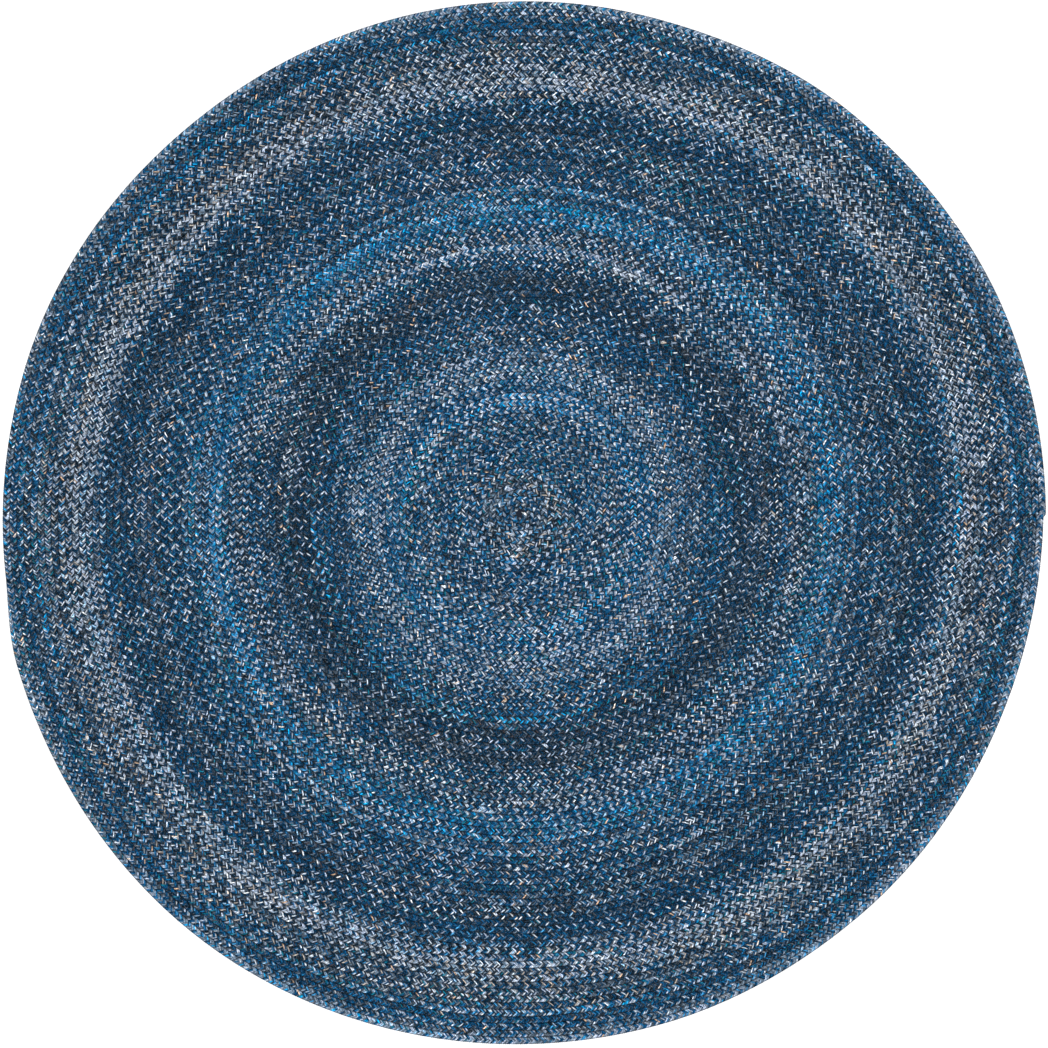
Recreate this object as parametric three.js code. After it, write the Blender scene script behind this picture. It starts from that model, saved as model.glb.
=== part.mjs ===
// A round braided rug, lying flat.
// One flat three-strand braid is coiled from the middle outwards and sewn edge to edge, so the rug
// is a single flat solid. Its rim is a last turn of a spiral: a little uneven, and stepped where the
// braid's tail tapers in. Millimetres, +Z up, origin at the middle of the underside.

import * as THREE from 'three';

// Driving sizes, in millimetres.
const BRAID_WIDTH = 12.05;    // one turn of the coil to the next
const COIL_RADIUS = 922;      // middle of the coil to the outside of the tail
const THICKNESS = 7;          // the braid, flat
const EDGE_ROUND = 2.5;       // how far the braid's outer edge is rounded over
const EDGE_STEPS = 3;         // facets across that rounding

// The tail of the braid, in degrees anticlockwise from +X seen from above.
const TAIL_TIP = 186;         // where it has tapered away into the rim
const TAIL_SPAN = 11;         // how much of the rim the taper takes

const OUTLINE_STEP = 2;       // degrees between points of the outline

// How far the rim wanders from a true spiral: hand-sewn turns lie tighter in some places than others.
// A row for each flat or full stretch: its angle in degrees, anticlockwise from +X, and the distance
// outwards in millimetres.
const RIM_WANDER = [
  { angle: 22, out: 3 },
  { angle: 50, out: -4 },
  { angle: 75, out: -14 },
  { angle: 125, out: -20 },
  { angle: 165, out: -8 },
  { angle: 195, out: -4 },
  { angle: 238, out: 8 },
  { angle: 285, out: 5 },
  { angle: 310, out: 0 },
  { angle: 340, out: -5 },
];

const MATERIAL = { color: 0x5f7488, roughness: 0.95, metalness: 0 };

function wrapDegrees(angle) {
  return ((angle % 360) + 360) % 360;
}

function ease(t) {
  return t * t * (3 - 2 * t);
}

// The wander at any angle: rows joined by smooth steps, and the last row joined to the first.
function rimWander(angle) {
  const count = RIM_WANDER.length;
  for (let i = 0; i < count; i += 1) {
    const from = RIM_WANDER[i];
    const to = RIM_WANDER[(i + 1) % count];
    const span = wrapDegrees(to.angle - from.angle);
    const along = wrapDegrees(angle - from.angle);
    if (along < span) {
      return from.out + (to.out - from.out) * ease(along / span);
    }
  }
  return 0;
}

// The rim is the coil's last turn. It loses one braid width in a turn anticlockwise from the tail,
// and the tail itself tapers to nothing at its tip.
function rimRadius(angle) {
  const fromTip = wrapDegrees(angle - TAIL_TIP);
  const tailWidth = ease(Math.min(1, fromTip / TAIL_SPAN));
  const spiral = COIL_RADIUS - BRAID_WIDTH * (fromTip / 360 + 1 - tailWidth);
  return spiral + rimWander(angle);
}

function rugOutline() {
  const points = [];
  for (let angle = 0; angle < 360; angle += OUTLINE_STEP) {
    const radius = rimRadius(angle);
    const turn = THREE.MathUtils.degToRad(angle);
    points.push(new THREE.Vector2(radius * Math.cos(turn), radius * Math.sin(turn)));
  }
  return new THREE.Shape(points);
}

function rugGeometry() {
  const geometry = new THREE.ExtrudeGeometry(rugOutline(), {
    depth: THICKNESS - 2 * EDGE_ROUND,
    steps: 1,
    bevelEnabled: true,
    bevelThickness: EDGE_ROUND,
    bevelSize: EDGE_ROUND,
    bevelOffset: -EDGE_ROUND,
    bevelSegments: EDGE_STEPS,
  });
  // The coil's middle isn't quite the rug's middle: the origin goes to the middle of the outline.
  geometry.computeBoundingBox();
  const middle = geometry.boundingBox.getCenter(new THREE.Vector3());
  geometry.translate(-middle.x, -middle.y, -geometry.boundingBox.min.z);
  return geometry;
}

const braidedRug = new THREE.Mesh(rugGeometry(), new THREE.MeshStandardMaterial(MATERIAL));
braidedRug.name = 'braided_rug';

const rug = new THREE.Group();
rug.add(braidedRug);

export default rug;
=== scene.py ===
"""A round braided rug lying flat: one three-strand braid, coiled and sewn edge to edge.

Every yarn that shows on the top face is a modelled stroke. All sizes are in metres.
"""

import math

import bpy
import numpy as np
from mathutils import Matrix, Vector


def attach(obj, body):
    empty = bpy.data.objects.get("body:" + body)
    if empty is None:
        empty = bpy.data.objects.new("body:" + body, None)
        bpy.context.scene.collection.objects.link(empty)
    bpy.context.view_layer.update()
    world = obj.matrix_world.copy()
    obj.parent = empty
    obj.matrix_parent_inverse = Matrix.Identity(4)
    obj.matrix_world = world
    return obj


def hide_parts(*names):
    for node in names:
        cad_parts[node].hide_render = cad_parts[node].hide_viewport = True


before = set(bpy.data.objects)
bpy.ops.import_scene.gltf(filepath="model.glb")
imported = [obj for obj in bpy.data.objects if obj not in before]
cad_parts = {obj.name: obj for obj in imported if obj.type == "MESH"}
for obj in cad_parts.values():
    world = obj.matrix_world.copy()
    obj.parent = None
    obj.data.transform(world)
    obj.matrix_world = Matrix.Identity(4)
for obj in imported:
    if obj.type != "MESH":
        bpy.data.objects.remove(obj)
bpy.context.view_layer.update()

SEED = 76                     # every run gives the same rug
RNG = np.random.default_rng(SEED)

# ---------------------------------------------------------------- sizes of the rug

BRAID_WIDTH = 0.01205         # one turn of the coil to the next
COIL_RADIUS = 0.922           # middle of the coil to the outside of the tail
THICKNESS = 0.007
TURNS = COIL_RADIUS / BRAID_WIDTH
FIRST_TURN = 0.78             # where the braid starts, in turns from the middle
TAIL_TIP = 186.0              # degrees anticlockwise from +X, where the tail has tapered away
TAIL_SPAN = 11.0              # degrees of the rim that the taper takes

# How far the rim wanders from a true spiral, a row for each flat or full stretch: the angle in
# degrees and the distance outwards in millimetres.
RIM_WANDER = [
    (22, 3),
    (50, -4),
    (75, -14),
    (125, -20),
    (165, -8),
    (195, -4),
    (238, 8),
    (285, 5),
    (310, 0),
    (340, -5),
]
WANDER_FROM = 0.32            # share of the radius inside which the turns are true
WANDER_SPAN = 0.50            # share of the radius over which the wander grows to the rim's
MIDDLE_HOLE = 0.0003          # the first turn's inner edge keeps this far from the coil's middle
TAIL_FLATTENS = 0.6           # share of the braid's thickness that is gone at the tail's tip
OUTLINE_STEPS = 180           # points round the rug's outline

# ---------------------------------------------------------------- the plait

STRANDS = 3
YARNS = 3                     # side by side in each strand
CYCLE = 0.0295                # length of braid in which the plait repeats
ARM = CYCLE / STRANDS         # from one strand's arm to the next, along the braid
YARN = ARM / YARNS            # from one yarn to the next, along the braid
HALF = BRAID_WIDTH / 2
OUTER_LEAN = math.radians(47.8)   # yarns of the outer half, from the braid's direction
INNER_LEAN = math.radians(44.3)
CROSSING = 0.0024             # how far the arms reach past the braid's middle, and stop short of it

# A stroke is one yarn's length on the top face, with a ridge along it.
STROKE_HALF_WIDTH = 0.52      # of a yarn's pitch, so that neighbours just overlap
SEAM_REACH = 1.01             # of half the braid, so that strokes just cross the seam
CROSSING_TUCK = 0.0007        # how far a stroke runs on under the opposite arm
RIDGE_FROM_SEAM = 0.0018
RIDGE_FROM_CROSSING = 0.0010
MIDDLE_YARN_LIFT = 0.0002     # the middle yarn of each strand stands higher

# How uneven strokes are, as standard deviations.
UNEVEN_PLACE = 0.06           # of a yarn's pitch
UNEVEN_WIDTH = 0.04           # of a yarn's pitch
UNEVEN_RIDGE = 0.0002
UNEVEN_HEIGHT = 0.0002
UNEVEN_LEAN = 0.07            # slope

# Heights above the floor, of the top face.
CREST = 0.0069
NEAR_SEAM = 0.0066
SEAM = 0.0044
YARN_VALLEY = 0.0052
ARM_VALLEY = 0.0046
CORE_TOP = 0.0042
CORE_BOTTOM = 0.0020

# The rim, where the last turn's yarns go on down.
RIM_HALF_WIDTH = 0.54         # of a yarn's pitch
RIM_LEAD = 0.0006             # how far along a yarn's corners start before its ridge
RIM_RUN = 0.0040              # how far along a yarn gets on its way down
RIM_RIDGE_SHARE = 0.6         # of that run, at the lower end of its ridge
RIM_TOP_INSET = 0.0008
RIM_BOTTOM_INSET = 0.0012
RIM_BULGE = 0.0004            # how far its ridge stands out past the edge
RIM_UNEVEN = 0.0001
RIM_TOP, RIM_BOTTOM = 0.0058, 0.0008
RIM_RIDGE_TOP, RIM_RIDGE_BOTTOM = 0.0050, 0.0020

# The underside's pads, one for each strand's arm.
FLOOR_GAP = 0.0001
UNDER_VALLEY = 0.0022
PAD_INSET = 0.0006            # from a pad's ends to its ridge's
PAD_SEAM_RISE = 0.0004        # how much higher its ridge is at the seam

# ---------------------------------------------------------------- yarn colours, sRGB

PALETTE = {
    "ink": "0c1a24",
    "charcoal": "222c34",
    "graphite": "404a54",
    "midnight": "042840",
    "navy": "043454",
    "marine": "04446c",
    "denim": "105884",
    "azure": "347aa8",
    "cerulean": "0892cc",
    "teal": "0a627a",
    "slate": "566676",
    "steel": "74879a",
    "sky": "86abc8",
    "lavender": "98a4b8",
    "mist": "b0b9c4",
    "white": "d0d4d8",
    "pewter": "7c8288",
    "pebble": "9c948c",
    "tan": "c8a88c",
    "umber": "3c3434",
    "sand": "d4c6b8",
}
COLOURS = list(PALETTE)
SLUBS = ("tan", "sand", "tan", "pebble")

# The kinds of yarn, and what each is spun from: parts of each colour.
YARN_KINDS = {
    "K": {"ink": 28, "charcoal": 38, "graphite": 18, "midnight": 14, "umber": 2},
    "N": {"midnight": 30, "navy": 38, "marine": 22, "ink": 6, "teal": 4},
    "B": {"marine": 30, "denim": 38, "azure": 16, "navy": 10, "teal": 6},
    "C": {"cerulean": 34, "azure": 26, "denim": 24, "teal": 10, "sky": 6},
    "G": {"slate": 42, "steel": 26, "graphite": 18, "pewter": 9, "lavender": 5},
    "W": {"lavender": 36, "mist": 22, "white": 3, "steel": 27, "slate": 6, "sky": 6},
    "P": {"pewter": 30, "pebble": 34, "mist": 18, "graphite": 10, "slate": 8},
}

# The three yarns of each of the three strands, from this turn of the coil outwards. A whole number
# of turns is at the right of the rug, and a half at the left.
YARN_RUNS = [
    # the grey-blue middle
    (0.0, "WWK", "GBK", "WBN"),
    (4.5, "WWK", "NBK", "GKP"),
    (6.5, "WWK", "NBK", "GBN"),
    (8.5, "WKN", "BNK", "WBN"),
    (9.5, "WKN", "BNG", "WBN"),
    (12.5, "WWK", "BNK", "GBN"),
    (15.5, "WWB", "NBK", "GBN"),
    (16.5, "WWB", "NCK", "WBN"),
    (18.5, "WWN", "BNB", "GBN"),
    (20.5, "WWK", "BGN", "WBN"),
    (24.5, "WKN", "BNG", "WBK"),
    (26.5, "WKN", "BNK", "WBK"),
    # the inner dark band, with a short blue stretch
    (28.5, "KWN", "KNB", "NKB"),
    (30.2, "KWC", "KCB", "NCG"),
    (30.4, "KWN", "KNK", "NKB"),
    (31.5, "KWN", "KNK", "NKN"),
    (33.5, "KWN", "KNK", "KKN"),
    (34.5, "WKN", "KGK", "NKN"),
    (36.5, "WKN", "BNK", "WKN"),
    # the light turns inside the blue band, with two short stretches of nearly white
    (38.7, "WWW", "NWK", "WBN"),
    (38.85, "WKN", "BNK", "WBN"),
    (39.6, "WWW", "NWB", "WBN"),
    (39.85, "WWK", "NBK", "WKN"),
    (42.5, "WWK", "NBK", "GBN"),
    # the blue band
    (43.5, "WWB", "NBK", "CBN"),
    (44.5, "WCB", "NBG", "CBN"),
    (45.6, "CBW", "NCB", "GCN"),
    (45.85, "CBW", "NBK", "GCN"),
    (46.5, "WCW", "NBK", "CBK"),
    (47.5, "WNB", "BNK", "GBK"),
    (48.5, "WWG", "GBK", "CBN"),
    # the outer dark band
    (49.5, "KWN", "BNK", "NKB"),
    (50.5, "WKW", "BNK", "NKN"),
    (51.5, "KWN", "BNK", "NBN"),
    (52.5, "WKW", "BNK", "NBN"),
    (53.5, "KWN", "BNK", "NKN"),
    (54.5, "KWN", "BNK", "NKG"),
    (57.5, "KWN", "KNN", "NKK"),
    (58.5, "KWN", "KNN", "NKN"),
    (59.5, "KWN", "KNB", "NKN"),
    (61.5, "WKW", "NKB", "NKN"),
    # the light band, with a stretch of one bright blue yarn
    (62.5, "WWK", "KNP", "BKN"),
    (63.5, "WWK", "BWN", "NKW"),
    (63.8, "WWK", "BCN", "NKW"),
    (64.3, "WWK", "BWN", "NKW"),
    (64.5, "WWK", "PWN", "NKW"),
    (65.5, "WWK", "NPK", "NKW"),
    # light and dark turn by turn, out to the navy turns and the mixed rim
    (67.5, "WWK", "KNP", "NKB"),
    (68.5, "KNG", "NPK", "KWN"),
    (69.5, "WWK", "WNK", "NKB"),
    (70.5, "KNG", "NKP", "KBN"),
    (71.5, "WWK", "WNC", "NKB"),
    (72.5, "KNB", "NBK", "GKN"),
    (73.5, "WKN", "BNB", "NKG"),
    (74.5, "WGK", "GBK", "WBN"),
    (75.5, "WGW", "GCG", "WBN"),
]
SPLICE_SPREAD = 0.12          # turns by which a yarn's own splices come early or late, at most
HELD_CYCLES = 4.0             # how long a yarn keeps its colour, in plait cycles, on average
FLECK_SHARE = 0.25            # strokes that show a colour from any of the nine yarns
SLUB_SHARE = 0.006            # strokes that are a warm-coloured slub

# ---------------------------------------------------------------- atlas of yarn looks

LOOKS_MAP = "OFBake"
LOOK_COLUMNS = 16
LOOK_ROWS = len(COLOURS) * YARNS
LOOK_MARGIN = 0.12            # of a look's cell, left free round each stroke

# Where a ridge starts and ends, as shares of a look's length.
TOP_RIDGE = (0.22, 0.84)
RIM_RIDGE = (0.25, 0.75)
UNDER_RIDGE = (0.0, 1.0)

# Patterns in the looks: how many to a cell along and across the yarn, each one's place in the
# noise, and its detail.
LOOK_NOISES = {
    "fibres": {"along": 6.0, "across": 5.0, "place": 0.0, "detail": 3},
    "heather": {"along": 3.6, "across": 2.0, "place": 3.0, "detail": 1},
    "flecks": {"along": 4.4, "across": 2.4, "place": 7.0, "detail": 1},
    "glints": {"along": 4.0, "across": 2.6, "place": 11.0, "detail": 1},
}
PLY_TWISTS = {"along": 2.6, "across": 0.8}    # turns of the two plies to a cell
PLY_SPAN = (0.1, 0.5)         # of the twist's sine, from the first ply to the second
PLY_CONTRAST = (-0.6, 0.8)    # how much darker or brighter the second ply can be

# What makes a yarn brighter or darker: a pattern, the range of it that counts, and the brightness
# at each end of that range. The look, fibres and heather are the yarn's own tones; the last three
# are painted shade, at each stroke's edges and at its two ends.
LOOK_SHADES = [
    ("each look", 0.0, 1.0, 0.94, 1.40),
    ("fibres", 0.3, 0.7, 0.55, 1.45),
    ("heather", 0.32, 0.68, 0.46, 1.50),
    # painted shade: darker towards each stroke's edges, in the valleys where neighbouring yarns
    # meet
    ("painted_edge_shade", 0.3, 0.95, 0.45, 1.10),
    # painted shade: darker at the seam end and at the crossing end, where the stroke dips under
    ("along", 0.12, 0.34, 0.12, 1.0),
    ("along", 0.68, 0.88, 1.0, 0.32),
]

# Stray fibres of other colours: a pattern, where in it they begin and are at their most, how much
# they cover there, and their colour.
STRAY_FIBRES = [
    ("flecks", 0.62, 0.72, 0.55, (0.36, 0.39, 0.44, 1)),
    ("flecks", 0.40, 0.30, 0.70, (0.004, 0.012, 0.024, 1)),
    ("glints", 0.62, 0.70, 0.60, (0.008, 0.14, 0.33, 1)),
]
NOISE_SPAN = (0.3, 0.7)       # nearly all of a noise lies in this range

MATT = 0.9                    # roughness, where no pattern sets it
SPECULAR_LEVEL = 0.04         # yarn hardly shines
SHEEN_ROUGHNESS = 0.5
YARN_ROUGHNESS = (0.82, 0.98)
YARN_SHEEN = 0.02
YARN_BUMP = 0.00035
BUMP_SHARES = {"fibres": 0.8, "plies": 0.2}

CORE_FIBRES = 900.0           # to a metre
# painted shade: the core's near-black colours stand for the shade in the gaps between strands
CORE_SHADE_COLOURS = ((0.004, 0.006, 0.01, 1), (0.02, 0.028, 0.045, 1))
CORE_ROUGHNESS = (0.9, 1.0)
CORE_BUMP = 0.0004


def ease(t):
    t = np.clip(t, 0, 1)
    return t * t * (3 - 2 * t)


def srgb(code):
    values = [int(code[i:i + 2], 16) / 255 for i in (0, 2, 4)]
    return [v / 12.92 if v <= 0.04045 else ((v + 0.055) / 1.055) ** 2.4 for v in values]


# ---------------------------------------------------------------- the coil

def rim_wander(angle):
    """Metres outwards at an angle in degrees: the table's rows joined by smooth steps."""
    at = np.array([row[0] for row in RIM_WANDER] + [360 + RIM_WANDER[0][0]], float)
    out = np.array([row[1] for row in RIM_WANDER] + [RIM_WANDER[0][1]], float) / 1000
    angle = np.mod(angle, 360)
    row = np.clip(np.searchsorted(at, angle, side="right") - 1, 0, len(RIM_WANDER) - 1)
    share = (angle - at[row]) / (at[row + 1] - at[row])
    return out[row] + (out[row + 1] - out[row]) * ease(share)


def tail_width(turn):
    """The braid's width as a share of the whole, which falls to 0 at the tail's tip."""
    return ease((TURNS - turn) * 360 / TAIL_SPAN)


def coil_angle(turn):
    """The coil winds outwards clockwise, seen from above."""
    return TAIL_TIP - 360 * (turn - TURNS)


def rim_outline(steps):
    """The rug's outline about the coil's middle: its angles and its radii."""
    angle = np.arange(steps) * 360 / steps
    turn = TURNS - np.mod(angle - TAIL_TIP, 360) / 360
    return angle, BRAID_WIDTH * (turn - 1 + tail_width(turn)) + rim_wander(angle)


def coil_middle():
    """Where the coil's middle lies in the frame, whose origin is the middle of the outline."""
    angle, radius = rim_outline(OUTLINE_STEPS)
    x = radius * np.cos(np.radians(angle))
    y = radius * np.sin(np.radians(angle))
    return -(x.min() + x.max()) / 2, -(y.min() + y.max()) / 2


MIDDLE = coil_middle()


def turn_at(length):
    """The turn reached after this length of braid."""
    first = FIRST_TURN - 0.5
    return 0.5 + np.sqrt(first ** 2 + np.maximum(length, 0) / (math.pi * BRAID_WIDTH))


def length_at(turn):
    return math.pi * BRAID_WIDTH * ((turn - 0.5) ** 2 - (FIRST_TURN - 0.5) ** 2)


def on_coil(length, across, height):
    """Points given by length along the braid, distance out from its middle line, and height."""
    turn = np.minimum(turn_at(length), TURNS)
    angle = coil_angle(turn)
    middle = BRAID_WIDTH * (turn - 0.5)
    wander_share = ease((middle / COIL_RADIUS - WANDER_FROM) / WANDER_SPAN)
    middle = middle + rim_wander(angle) * wander_share
    room = np.where(across < 0, np.minimum(1, (middle - MIDDLE_HOLE) / HALF), 1)
    width = tail_width(turn)
    radius = middle - HALF + (across * room + HALF) * width
    thick = 1 - TAIL_FLATTENS * (1 - width)
    level = THICKNESS / 2 + (height - THICKNESS / 2) * thick
    x = MIDDLE[0] + radius * np.cos(np.radians(angle))
    y = MIDDLE[1] + radius * np.sin(np.radians(angle))
    return np.stack([x, y, level], -1)


BRAID_LENGTH = length_at(TURNS)
CYCLES = int(BRAID_LENGTH / CYCLE)


# ---------------------------------------------------------------- which colour each yarn is

def kind_weights(kind):
    weights = np.array([YARN_KINDS[kind].get(colour, 0) for colour in COLOURS], float)
    return weights / weights.sum()


def yarn_colours():
    """The colour that each yarn holds in each cycle, and the colours of its flecks."""
    cycle = np.arange(CYCLES + 2)
    turn = turn_at(cycle * CYCLE)
    starts = np.array([row[0] for row in YARN_RUNS], float)
    held = np.zeros((len(cycle), STRANDS, YARNS), int)
    fleck = np.zeros_like(held)
    for strand in range(STRANDS):
        for yarn in range(YARNS):
            splice = RNG.uniform(-SPLICE_SPREAD, SPLICE_SPREAD)
            run = np.clip(np.searchsorted(starts, turn + splice, side="right") - 1, 0, None)
            for number, row in enumerate(YARN_RUNS):
                here = run == number
                own = kind_weights(row[1 + strand][yarn])
                every = np.mean([kind_weights(kind) for kind in "".join(row[1:])], axis=0)
                held[here, strand, yarn] = RNG.choice(len(COLOURS), size=here.sum(), p=own)
                fleck[here, strand, yarn] = RNG.choice(len(COLOURS), size=here.sum(), p=every)
            keeps = RNG.random(len(cycle)) > 1 / HELD_CYCLES
            keeps[0] = False
            keeps[1:] &= run[1:] == run[:-1]
            last = np.maximum.accumulate(np.where(keeps, 0, cycle))
            held[:, strand, yarn] = held[last, strand, yarn]
    return held, fleck


HELD, FLECK = yarn_colours()

# The two halves of the braid: outwards or inwards, the yarns' lean, and where the plait starts.
SIDES = ((1, OUTER_LEAN, 0.0), (-1, INNER_LEAN, CYCLE / 2))


def stroke_colours():
    """For each side of the braid, the colour of every yarn where it crosses the top face."""
    shape = (len(SIDES), *HELD.shape)
    colour = np.where(RNG.random(shape) < FLECK_SHARE, FLECK, HELD)
    slub = RNG.choice([COLOURS.index(name) for name in SLUBS], size=shape)
    return np.where(RNG.random(shape) < SLUB_SHARE, slub, colour)


TOP_COLOURS = stroke_colours()
TOP_LOOKS = RNG.integers(0, LOOK_COLUMNS, TOP_COLOURS.shape)


# ---------------------------------------------------------------- meshes of strokes

def make_mesh(name, points, faces, material):
    """One mesh object from arrays of points and triangles."""
    mesh = bpy.data.meshes.new(name)
    mesh.vertices.add(len(points))
    mesh.vertices.foreach_set("co", points.astype(np.float32).ravel())
    mesh.loops.add(faces.size)
    mesh.loops.foreach_set("vertex_index", faces.astype(np.int32).ravel())
    mesh.polygons.add(len(faces))
    mesh.polygons.foreach_set("loop_start", np.arange(0, faces.size, 3, dtype=np.int32))
    mesh.polygons.foreach_set("loop_total", np.full(len(faces), 3, np.int32))
    mesh.polygons.foreach_set("use_smooth", np.ones(len(faces), bool))
    mesh.update(calc_edges=True)
    mesh.materials.append(material)
    piece = bpy.data.objects.new(name, mesh)
    bpy.context.scene.collection.objects.link(piece)
    return piece


def add_map(piece, positions):
    layer = piece.data.uv_layers.new(name=LOOKS_MAP)
    layer.uv.foreach_set("vector", positions.astype(np.float32).ravel())


# A stroke's six points: the left and right corners at its seam end and at its other end, and the
# two ends of its ridge. A gable has no faces at the ends.
HIP_ROOF = np.array([(1, 0, 4), (3, 1, 5), (5, 1, 4), (2, 3, 5), (0, 2, 4), (4, 2, 5)])
GABLE_ROOF = np.array([(4, 0, 5), (5, 0, 2), (1, 4, 3), (3, 4, 5)])


def look_corners(colour, column, low_row, high_row, ridge):
    """Map positions of a stroke's six points, in one column of the atlas of yarn looks."""
    left = (column + LOOK_MARGIN) / LOOK_COLUMNS
    span = (1 - 2 * LOOK_MARGIN) / LOOK_COLUMNS
    low = (colour * YARNS + low_row + LOOK_MARGIN) / LOOK_ROWS
    high = (colour * YARNS + high_row + 1 - LOOK_MARGIN) / LOOK_ROWS
    middle = (low + high) / 2
    u = np.stack([left + span * share for share in (0, 0, 1, 1, *ridge)], 1)
    v = np.stack([low, high, low, high, middle, middle], 1)
    return np.stack([u, v], -1)


def every_yarn(cycle):
    """Index arrays for all the yarns of all the strands in these cycles."""
    grid = np.meshgrid(cycle, np.arange(STRANDS), np.arange(YARNS), indexing="ij")
    return [axis.ravel() for axis in grid]


def crossing(offset):
    """How far out from the braid's middle one arm meets the other half's, this far into the arm."""
    return CROSSING * (1 - 2 * offset / ARM)


def top_strokes(cycle):
    """Every yarn that shows on the top face in these cycles, in both halves of the braid."""
    cycle, strand, yarn = every_yarn(cycle)
    count = len(cycle)
    points, maps = [], []
    for number, (side, lean, start) in enumerate(SIDES):
        slope = 1 / math.tan(lean)
        jitter = RNG.normal(0, 1, (count, 6))
        arm_start = cycle * CYCLE + strand * ARM + start
        middle = (yarn + 0.5 + UNEVEN_PLACE * jitter[:, 0]) * YARN
        half_width = YARN * (STROKE_HALF_WIDTH + UNEVEN_WIDTH * jitter[:, 1])
        left, right = middle - half_width, middle + half_width
        at = np.stack([left, right, left, right, middle, middle], 1)
        out = np.stack([
            np.full(count, HALF * SEAM_REACH),
            np.full(count, HALF * SEAM_REACH),
            crossing(left) - CROSSING_TUCK,
            crossing(right) - CROSSING_TUCK,
            HALF - RIDGE_FROM_SEAM + UNEVEN_RIDGE * jitter[:, 2],
            crossing(middle) + RIDGE_FROM_CROSSING + UNEVEN_RIDGE * jitter[:, 3],
        ], 1)
        lift = UNEVEN_HEIGHT * jitter[:, 4] + np.where(yarn == 1, MIDDLE_YARN_LIFT, 0.0)
        valley_left = np.where(yarn == 0, ARM_VALLEY, YARN_VALLEY)
        valley_right = np.where(yarn == YARNS - 1, ARM_VALLEY, YARN_VALLEY)
        up = np.stack([
            np.full(count, SEAM),
            np.full(count, SEAM),
            valley_left,
            valley_right,
            NEAR_SEAM + lift,
            CREST + lift,
        ], 1)
        skew = UNEVEN_LEAN * jitter[:, 5, None] * (out - HALF / 2)
        along = arm_start[:, None] + at + out * slope + skew
        # Left and right change places in the inner half, so that every face points up.
        order = [0, 1, 2, 3, 4, 5] if side > 0 else [1, 0, 3, 2, 4, 5]
        points.append(on_coil(along, side * out, up)[:, order])
        colour = TOP_COLOURS[number, cycle, strand, yarn]
        column = TOP_LOOKS[number, cycle, strand, yarn]
        maps.append(look_corners(colour, column, yarn, yarn, TOP_RIDGE))
    return np.concatenate(points), np.concatenate(maps)


def rim_strokes():
    """The yarns of the last turn, carried on down over the rim."""
    last_turn = np.arange(int(length_at(TURNS - 1) / CYCLE) - 1, CYCLES)
    cycle, strand, yarn = every_yarn(last_turn)
    count = len(cycle)
    side, lean, start = SIDES[0]
    slope = 1 / math.tan(lean)
    middle = cycle * CYCLE + strand * ARM + start + (yarn + 0.5) * YARN + HALF * slope
    # Left and right are as seen from beside the rug.
    left, right = middle + RIM_HALF_WIDTH * YARN, middle - RIM_HALF_WIDTH * YARN
    jitter = RNG.normal(0, 1, (count, 2))
    along = np.stack([
        left - RIM_LEAD,
        right - RIM_LEAD,
        left + RIM_RUN,
        right + RIM_RUN,
        middle,
        middle + RIM_RIDGE_SHARE * RIM_RUN,
    ], 1)
    out = np.stack([
        np.full(count, HALF - RIM_TOP_INSET),
        np.full(count, HALF - RIM_TOP_INSET),
        np.full(count, HALF - RIM_BOTTOM_INSET),
        np.full(count, HALF - RIM_BOTTOM_INSET),
        HALF + RIM_BULGE + RIM_UNEVEN * jitter[:, 0],
        HALF + RIM_BULGE + RIM_UNEVEN * jitter[:, 1],
    ], 1)
    height = (RIM_TOP, RIM_TOP, RIM_BOTTOM, RIM_BOTTOM, RIM_RIDGE_TOP, RIM_RIDGE_BOTTOM)
    up = np.broadcast_to(height, (count, 6))
    colour = TOP_COLOURS[0, cycle, strand, yarn]
    maps = look_corners(colour, TOP_LOOKS[0, cycle, strand, yarn], yarn, yarn, RIM_RIDGE)
    return on_coil(along, side * out, up), maps


def under_strokes():
    """The underside: a pad for each strand's arm in each half, its yarns drawn by its look."""
    grid = np.meshgrid(np.arange(CYCLES), np.arange(STRANDS), indexing="ij")
    cycle, strand = (axis.ravel() for axis in grid)
    count = len(cycle)
    at = np.array([0, ARM, 0, ARM, ARM / 2, ARM / 2])
    out = np.array([HALF, HALF, CROSSING, -CROSSING, HALF - PAD_INSET, PAD_INSET])
    height = [UNDER_VALLEY] * 4 + [FLOOR_GAP + PAD_SEAM_RISE, FLOOR_GAP]
    up = np.broadcast_to(height, (count, 6))
    points, maps = [], []
    for number, (side, lean, start) in enumerate(SIDES):
        slope = 1 / math.tan(lean)
        arm_start = cycle * CYCLE + strand * ARM + start + 2 * HALF * slope
        along = arm_start[:, None] + at - out * slope
        # Here they change places in the outer half, so that every face points down.
        order = [1, 0, 3, 2, 4, 5] if side > 0 else [0, 1, 2, 3, 4, 5]
        points.append(on_coil(along, side * np.broadcast_to(out, (count, 6)), up)[:, order])
        colour = TOP_COLOURS[number, cycle, strand, 1]
        column = TOP_LOOKS[number, cycle, strand, 1]
        maps.append(look_corners(colour, column, 0, YARNS - 1, UNDER_RIDGE))
    return np.concatenate(points), np.concatenate(maps)


def strokes_piece(name, points, maps, roof=HIP_ROOF):
    faces = roof[None] + 6 * np.arange(len(points))[:, None, None]
    piece = make_mesh(name, points.reshape(-1, 3), faces.reshape(-1, 3), YARN_LOOK)
    add_map(piece, maps.reshape(-1, 2)[faces.ravel()])
    return piece


# ---------------------------------------------------------------- materials

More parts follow.
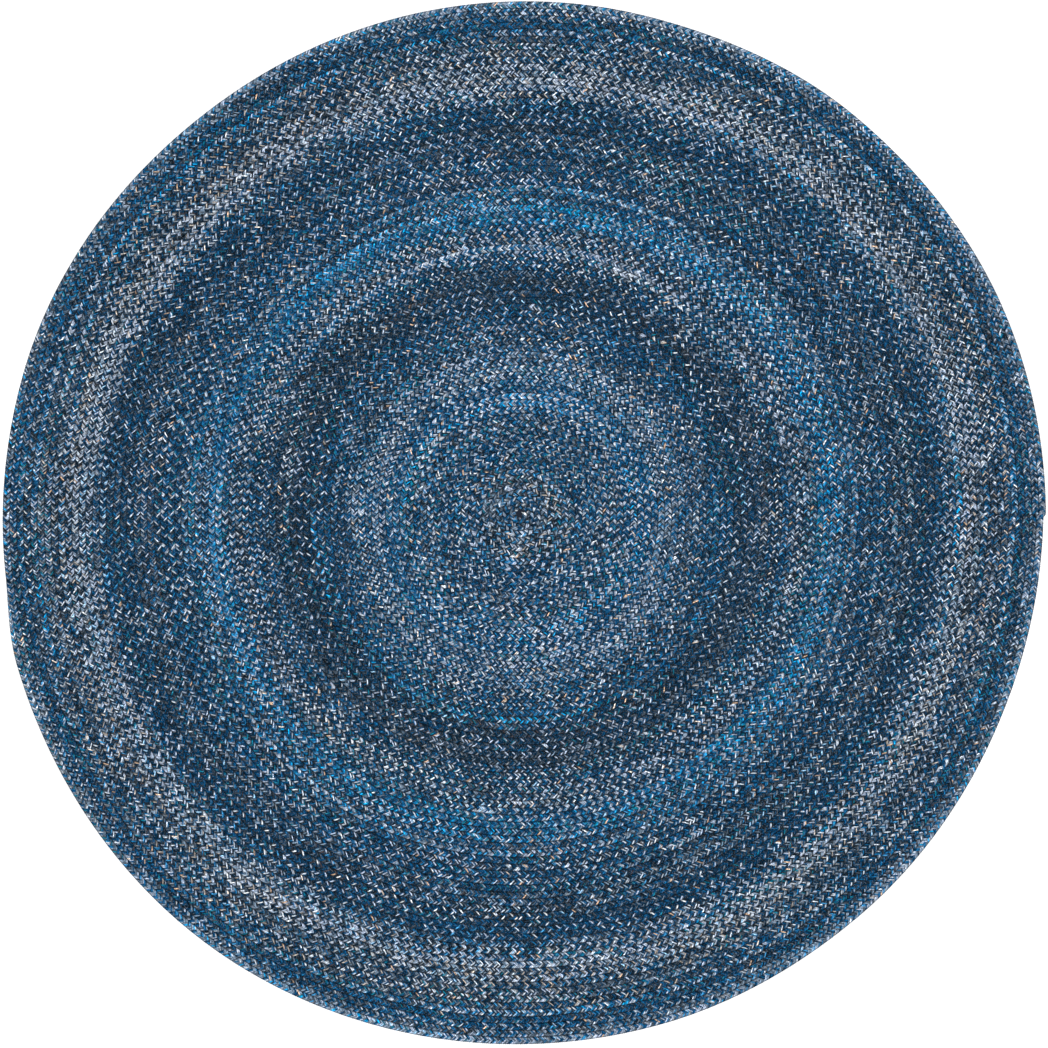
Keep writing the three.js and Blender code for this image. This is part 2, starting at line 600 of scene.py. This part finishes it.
class Nodes:
    """Short words for building one material's nodes."""

    def __init__(self, name, sheen=0.0):
        self.material = bpy.data.materials.new(name)
        self.material.use_nodes = True
        self.tree = self.material.node_tree
        self.shader = self.tree.nodes["Principled BSDF"]
        self.shader.inputs["Roughness"].default_value = MATT
        self.shader.inputs["Sheen Weight"].default_value = sheen
        self.shader.inputs["Sheen Roughness"].default_value = SHEEN_ROUGHNESS
        self.shader.inputs["Specular IOR Level"].default_value = SPECULAR_LEVEL

    def set(self, socket, value):
        if isinstance(value, bpy.types.NodeSocket):
            self.tree.links.new(value, socket)
        elif value is not None:
            socket.default_value = value

    def math(self, operation, a, b=None, c=None):
        node = self.tree.nodes.new("ShaderNodeMath")
        node.operation = operation
        for socket, value in zip(node.inputs, (a, b, c)):
            self.set(socket, value)
        return node.outputs[0]

    def vector(self, x, y, z=0.0):
        node = self.tree.nodes.new("ShaderNodeCombineXYZ")
        for socket, value in zip(node.inputs, (x, y, z)):
            self.set(socket, value)
        return node.outputs[0]

    def noise(self, vector, scale, detail):
        node = self.tree.nodes.new("ShaderNodeTexNoise")
        self.set(node.inputs["Vector"], vector)
        node.inputs["Scale"].default_value = scale
        node.inputs["Detail"].default_value = detail
        return node.outputs["Fac"]

    def scaled(self, value, low, high, to_low, to_high):
        node = self.tree.nodes.new("ShaderNodeMapRange")
        for socket, number in zip(node.inputs, (value, low, high, to_low, to_high)):
            self.set(socket, number)
        return node.outputs[0]

    def multiplied(self, colour, factor):
        node = self.tree.nodes.new("ShaderNodeVectorMath")
        node.operation = "SCALE"
        self.set(node.inputs[0], colour)
        self.set(node.inputs["Scale"], factor)
        return node.outputs[0]

    def steps(self, value, colours):
        """One colour after another, in equal steps of the value from 0 to 1."""
        node = self.tree.nodes.new("ShaderNodeValToRGB")
        node.color_ramp.interpolation = "CONSTANT"
        stops = node.color_ramp.elements
        for i, colour in enumerate(colours):
            stop = stops[i] if i < 2 else stops.new(i / len(colours))
            stop.position = i / len(colours)
            stop.color = colour
        self.set(node.inputs[0], value)
        return node.outputs[0]

    def mixed(self, share, a, b):
        node = self.tree.nodes.new("ShaderNodeMix")
        node.data_type = "RGBA"
        self.set(node.inputs["Factor"], share)
        self.set(node.inputs["A"], a)
        self.set(node.inputs["B"], b)
        return node.outputs["Result"]

    def bump(self, height, distance):
        node = self.tree.nodes.new("ShaderNodeBump")
        node.inputs["Distance"].default_value = distance
        self.set(node.inputs["Height"], height)
        self.set(self.shader.inputs["Normal"], node.outputs[0])


def yarn_material():
    """Heathered yarn. The map's row picks the colour, and each cell is one look of that colour."""
    n = Nodes("heathered_yarn", sheen=YARN_SHEEN)
    uv = n.tree.nodes.new("ShaderNodeUVMap")
    uv.uv_map = LOOKS_MAP
    split = n.tree.nodes.new("ShaderNodeSeparateXYZ")
    n.set(split.inputs[0], uv.outputs[0])
    u, v = split.outputs[0], split.outputs[1]
    column = n.math("MULTIPLY", u, LOOK_COLUMNS)
    row = n.math("MULTIPLY", v, LOOK_ROWS)
    along, across = n.math("FRACT", column), n.math("FRACT", row)

    each = n.tree.nodes.new("ShaderNodeTexWhiteNoise")
    each.noise_dimensions = "2D"
    n.set(each.inputs["Vector"], n.vector(n.math("FLOOR", column), n.math("FLOOR", row)))
    chances = n.tree.nodes.new("ShaderNodeSeparateColor")
    n.set(chances.inputs[0], each.outputs["Color"])

    patterns = {
        "each look": each.outputs["Value"],
        "along": along,
        # painted shade: this profile darkens each stroke towards its edges
        "painted_edge_shade": n.math("SINE", n.math("MULTIPLY", across, math.pi)),
    }
    for name, noise in LOOK_NOISES.items():
        x = n.math("MULTIPLY", column, noise["along"])
        y = n.math("MULTIPLY", row, noise["across"])
        patterns[name] = n.noise(n.vector(x, y, noise["place"]), 1.0, noise["detail"])

    twists = n.math("MULTIPLY", along, PLY_TWISTS["along"])
    twists = n.math("ADD", twists, n.math("MULTIPLY", across, PLY_TWISTS["across"]))
    twists = n.math("ADD", twists, chances.outputs[2])
    patterns["plies"] = n.math("SINE", n.math("MULTIPLY", twists, 2 * math.pi))

    # The shades include painted shade: darker at each stroke's edges and at its seam and crossing
    # ends.
    shade = 1.0
    for name, low, high, to_low, to_high in LOOK_SHADES:
        shade = n.math("MULTIPLY", n.scaled(patterns[name], low, high, to_low, to_high), shade)
    colour = n.steps(v, [(*srgb(code), 1) for code in PALETTE.values()])
    colour = n.multiplied(colour, shade)

    # Some yarns have one ply paler or darker than the other.
    second_ply = n.scaled(patterns["plies"], *PLY_SPAN, 0, 1)
    contrast = n.scaled(chances.outputs[0], 0, 1, *PLY_CONTRAST)
    colour = n.multiplied(colour, n.math("ADD", 1.0, n.math("MULTIPLY", second_ply, contrast)))

    for name, begin, most, cover, stray in STRAY_FIBRES:
        colour = n.mixed(n.scaled(patterns[name], begin, most, 0, cover), colour, stray)

    n.set(n.shader.inputs["Base Color"], colour)
    roughness = n.scaled(patterns["fibres"], *NOISE_SPAN, *YARN_ROUGHNESS)
    n.set(n.shader.inputs["Roughness"], roughness)
    relief = [n.math("MULTIPLY", patterns[name], share) for name, share in BUMP_SHARES.items()]
    n.bump(n.math("ADD", *relief), YARN_BUMP)
    return n.material


def core_shade_material():
    """The inside of the braid, which shows only between strands: painted shade, near black, with a
    matted-fibre grain.
    """
    n = Nodes("braid_core_painted_shade")
    place = n.tree.nodes.new("ShaderNodeTexCoord").outputs["Object"]
    fibre = n.noise(place, CORE_FIBRES, 4)
    # painted shade: near black, so the gaps between strokes read dark
    n.set(n.shader.inputs["Base Color"], n.mixed(fibre, *CORE_SHADE_COLOURS))
    n.set(n.shader.inputs["Roughness"], n.scaled(fibre, *NOISE_SPAN, *CORE_ROUGHNESS))
    n.bump(fibre, CORE_BUMP)
    return n.material


YARN_LOOK = yarn_material()
CORE_SHADE_LOOK = core_shade_material()


# ---------------------------------------------------------------- the core sheet

CORE_INSET = 0.0035           # the core stops this far inside the rim


def core_sheet():
    """The flat body of the rug under its yarns: a closed sheet with the rim's outline, painted near
    black as shade.
    """
    angle, radius = rim_outline(OUTLINE_STEPS)
    x = MIDDLE[0] + (radius - CORE_INSET) * np.cos(np.radians(angle))
    y = MIDDLE[1] + (radius - CORE_INSET) * np.sin(np.radians(angle))
    count = len(angle)
    top = np.stack([x, y, np.full(count, CORE_TOP)], 1)
    under = np.stack([x, y, np.full(count, CORE_BOTTOM)], 1)
    middles = np.array([(*MIDDLE, CORE_TOP), (*MIDDLE, CORE_BOTTOM)])
    points = np.concatenate([top, under, middles])
    i = np.arange(count)
    j = (i + 1) % count
    centre_top, centre_under = 2 * count, 2 * count + 1
    faces = np.concatenate([
        np.stack([i, j, np.full(count, centre_top)], 1),
        np.stack([j + count, i + count, np.full(count, centre_under)], 1),
        np.stack([i, i + count, j + count], 1),
        np.stack([i, j + count, j], 1),
    ])
    return make_mesh("rug_core_shade", points, faces, CORE_SHADE_LOOK)


# ---------------------------------------------------------------- build

TOP_PIECES = 5                # the top's yarns are split up, to keep each piece's mesh small

pieces = [
    strokes_piece("rim_yarns", *rim_strokes()),
    strokes_piece("under_strands", *under_strokes(), roof=GABLE_ROOF),
]
ends = (np.arange(TOP_PIECES + 1) * CYCLES / TOP_PIECES).astype(int)
for band in range(TOP_PIECES):
    strokes = top_strokes(np.arange(ends[band], ends[band + 1]))
    pieces.append(strokes_piece(f"top_yarns_{band + 1}", *strokes))

core = core_sheet()
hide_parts("braided_rug")
for piece in [core, *pieces]:
    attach(piece, "root")

# ---------------------------------------------------------------- stage, light and camera

VIEW_WIDTH = 1.831            # what the picture takes in at the rug
LENS, SENSOR = 85.0, 36.0     # millimetres
CAMERA_OFF = (0.0070, -0.0157)    # the camera's axis from the coil's middle
CAMERA_SIGHT = 50.0           # how far it sees
FLOOR_SIZE = 9.0
FLOOR_SHADE = 0.6
FLOOR_GLOW = 0.5              # what the camera sees added to the floor, so that it is white
WORLD_LIGHT = 0.55
WORLD_SEEN = 1.0              # white
LAMPS = [
    {"name": "lamp_far", "place": (1.5, 5.6, 4.6)},
    {"name": "lamp_near", "place": (-1.0, -5.7, 4.6)},
]
LAMP_SIZE = (3.0, 2.4)
LAMP_POWER = 400.0


def seen_by_camera(tree):
    """1 for rays that make the picture, reflections and glass too, and 0 for light on the rug."""
    path = tree.nodes.new("ShaderNodeLightPath")
    seen = path.outputs["Is Camera Ray"]
    for name in ("Is Glossy Ray", "Is Transmission Ray"):
        either = tree.nodes.new("ShaderNodeMath")
        either.operation = "MAXIMUM"
        tree.links.new(seen, either.inputs[0])
        tree.links.new(path.outputs[name], either.inputs[1])
        seen = either.outputs[0]
    return seen


def floor():
    n = Nodes("pale_floor")
    n.shader.inputs["Base Color"].default_value = (FLOOR_SHADE, FLOOR_SHADE, FLOOR_SHADE, 1)
    n.shader.inputs["Emission Color"].default_value = (1, 1, 1, 1)
    glow = n.math("MULTIPLY", seen_by_camera(n.tree), FLOOR_GLOW)
    n.set(n.shader.inputs["Emission Strength"], glow)
    mesh = bpy.data.meshes.new("floor")
    half = FLOOR_SIZE / 2
    corners = [(-half, -half, 0), (half, -half, 0), (half, half, 0), (-half, half, 0)]
    mesh.from_pydata(corners, [], [(0, 1, 2, 3)])
    mesh.materials.append(n.material)
    piece = bpy.data.objects.new("floor", mesh)
    bpy.context.scene.collection.objects.link(piece)


def area_lamp(name, place):
    """A soft lamp that points at the rug."""
    lamp = bpy.data.lights.new(name, "AREA")
    lamp.shape = "RECTANGLE"
    lamp.size, lamp.size_y = LAMP_SIZE
    lamp.energy = LAMP_POWER
    holder = bpy.data.objects.new(name, lamp)
    holder.location = place
    holder.rotation_euler = (-Vector(place)).to_track_quat("-Z", "Y").to_euler()
    bpy.context.scene.collection.objects.link(holder)


def studio_world():
    world = bpy.data.worlds.new("studio")
    world.use_nodes = True
    tree = world.node_tree
    strength = tree.nodes.new("ShaderNodeMapRange")
    tree.links.new(seen_by_camera(tree), strength.inputs[0])
    strength.inputs["To Min"].default_value = WORLD_LIGHT
    strength.inputs["To Max"].default_value = WORLD_SEEN
    background = tree.nodes["Background"]
    background.inputs["Color"].default_value = (1, 1, 1, 1)
    tree.links.new(strength.outputs[0], background.inputs["Strength"])
    bpy.context.scene.world = world


floor()
for lamp in LAMPS:
    area_lamp(**lamp)
studio_world()

camera = bpy.data.objects.new("camera", bpy.data.cameras.new("camera"))
camera.data.lens = LENS
camera.data.sensor_width = SENSOR
camera.data.clip_end = CAMERA_SIGHT
camera.location = (
    MIDDLE[0] + CAMERA_OFF[0],
    MIDDLE[1] + CAMERA_OFF[1],
    THICKNESS + VIEW_WIDTH * LENS / SENSOR,
)
bpy.context.scene.collection.objects.link(camera)
bpy.context.scene.camera = camera
bpy.context.scene.view_settings.view_transform = "Standard"
